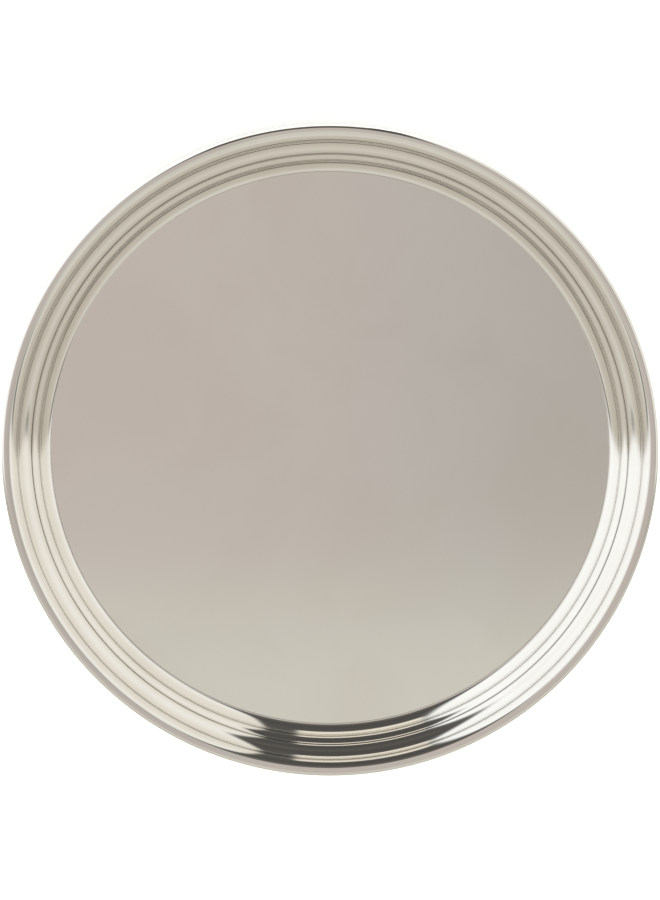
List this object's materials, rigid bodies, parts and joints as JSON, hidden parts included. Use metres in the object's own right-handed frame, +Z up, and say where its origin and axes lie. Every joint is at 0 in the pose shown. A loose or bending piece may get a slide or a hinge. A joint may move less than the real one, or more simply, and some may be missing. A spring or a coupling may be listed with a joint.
{
  "type": "round serving salver",
  "caption": "Round polished silver salver: a large flat well inside a stepped, moulded border with a rolled rim.",
  "frame": {"origin": "centre of the base plane the salver stands on", "axes": "+Z up, out of the well; the salver is round about +Z"},
  "size_m": [0.356, 0.356, 0.0221],
  "materials": {
    "well_silver": "mirror polished silver plate with faint wiping and turning marks",
    "border_silver": "mirror polished silver plate, spun",
    "wire_brass": "drawn brass wire, dull",
    "solder": "silver solder, grey, unpolished"
  },
  "bodies": {
    "root": {"well_plate": "well_silver", "border_ring": "border_silver", "rim_wire": "wire_brass", "solder_fillet": "solder"}
  },
  "joints": []
}
